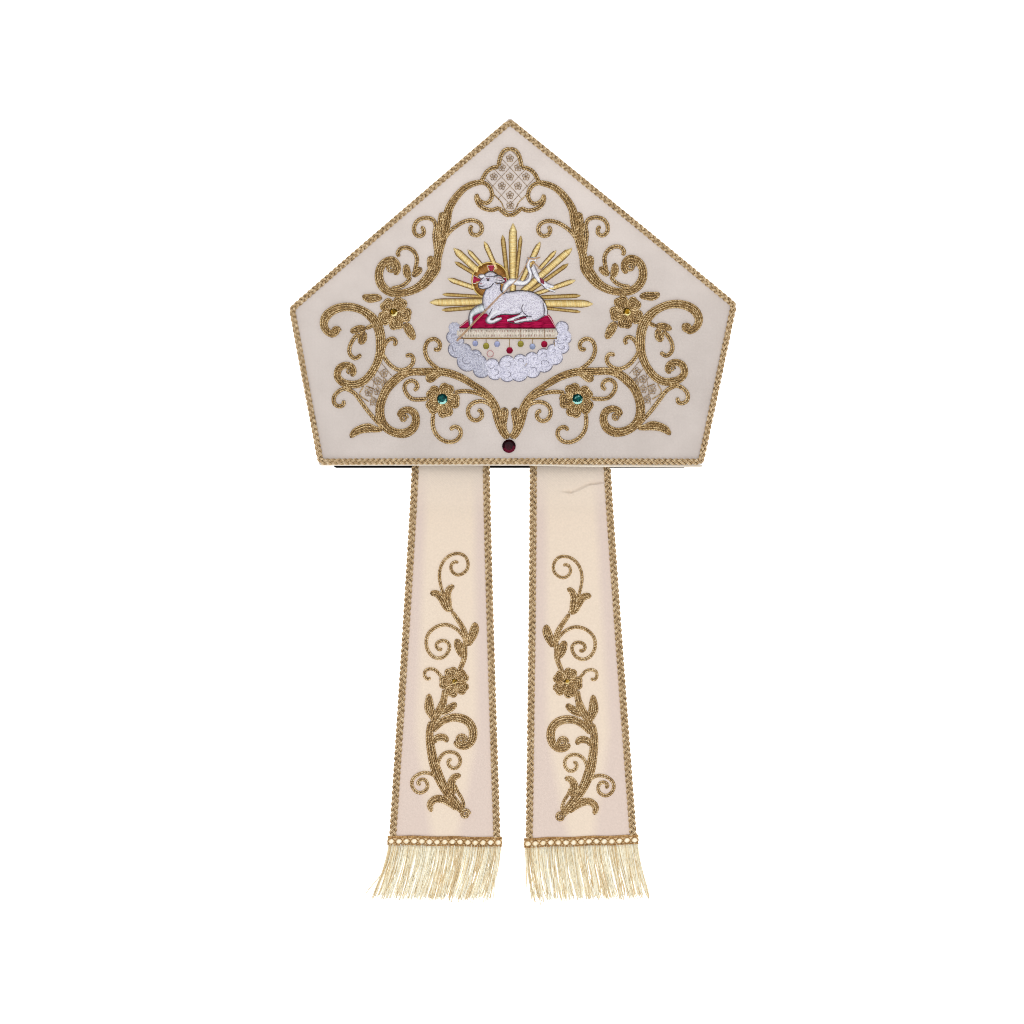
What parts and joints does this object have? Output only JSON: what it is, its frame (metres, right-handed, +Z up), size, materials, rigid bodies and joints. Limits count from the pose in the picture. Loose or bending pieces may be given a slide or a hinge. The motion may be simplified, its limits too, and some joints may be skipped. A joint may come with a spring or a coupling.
{
  "type": "bishop mitre",
  "caption": "Folded cloth mitre lying on its back, with gold braid and scroll embroidery, faceted stones, a leather sweatband, a folded crown gusset and fringed lappets.",
  "frame": {"origin": "middle of the whole object seen from above, on the surface that its back lies on", "axes": "+X across the brow to the right of the front panel, +Y from the fringes to the peak, +Z up out of the front panel"},
  "size_m": [0.3468, 0.6104, 0.0384],
  "materials": {
    "ivory_cloth": "fine ribbed ivory silk and wool cloth over a stiffener",
    "lining_cloth": "plain cream lining silk",
    "gold_braid": "plaited metallic gold thread",
    "gold_thread": "couched metallic gold cord",
    "gold_fringe": "pale gold rayon and metal thread",
    "silk_embroidery": "coloured silk floss in satin stitch",
    "black_leather": "thin black sheepskin",
    "ruby_glass": "foil-backed cut glass",
    "emerald_glass": "foil-backed cut glass",
    "topaz_glass": "foil-backed cut glass"
  },
  "bodies": {
    "root": {"front_panel": "ivory_cloth", "back_panel": "ivory_cloth", "crown_gusset": "lining_cloth", "sweatband": "black_leather", "front_braid_brow": "gold_braid", "front_braid_right_side": "gold_braid", "front_braid_right_slope": "gold_braid", "front_braid_left_slope": "gold_braid", "front_braid_left_side": "gold_braid", "back_braid_brow": "gold_braid", "back_braid_right_side": "gold_braid", "back_braid_right_slope": "gold_braid", "back_braid_left_slope": "gold_braid", "back_braid_left_side": "gold_braid", "lappet_left": "ivory_cloth", "lappet_left_braid_inner": "gold_braid", "lappet_left_braid_outer": "gold_braid", "fringe_heading_left": "gold_braid", "fringe_left": "gold_fringe", "lappet_right": "ivory_cloth", "lappet_right_braid_inner": "gold_braid", "lappet_right_braid_outer": "gold_braid", "fringe_heading_right": "gold_braid", "fringe_right": "gold_fringe", "ruby_stone": "ruby_glass", "emerald_stone_left": "emerald_glass", "emerald_stone_right": "emerald_glass", "topaz_stone_left": "topaz_glass", "topaz_stone_right": "topaz_glass", "lappet_stone_left": "topaz_glass", "lappet_stone_right": "topaz_glass"}
  },
  "joints": []
}
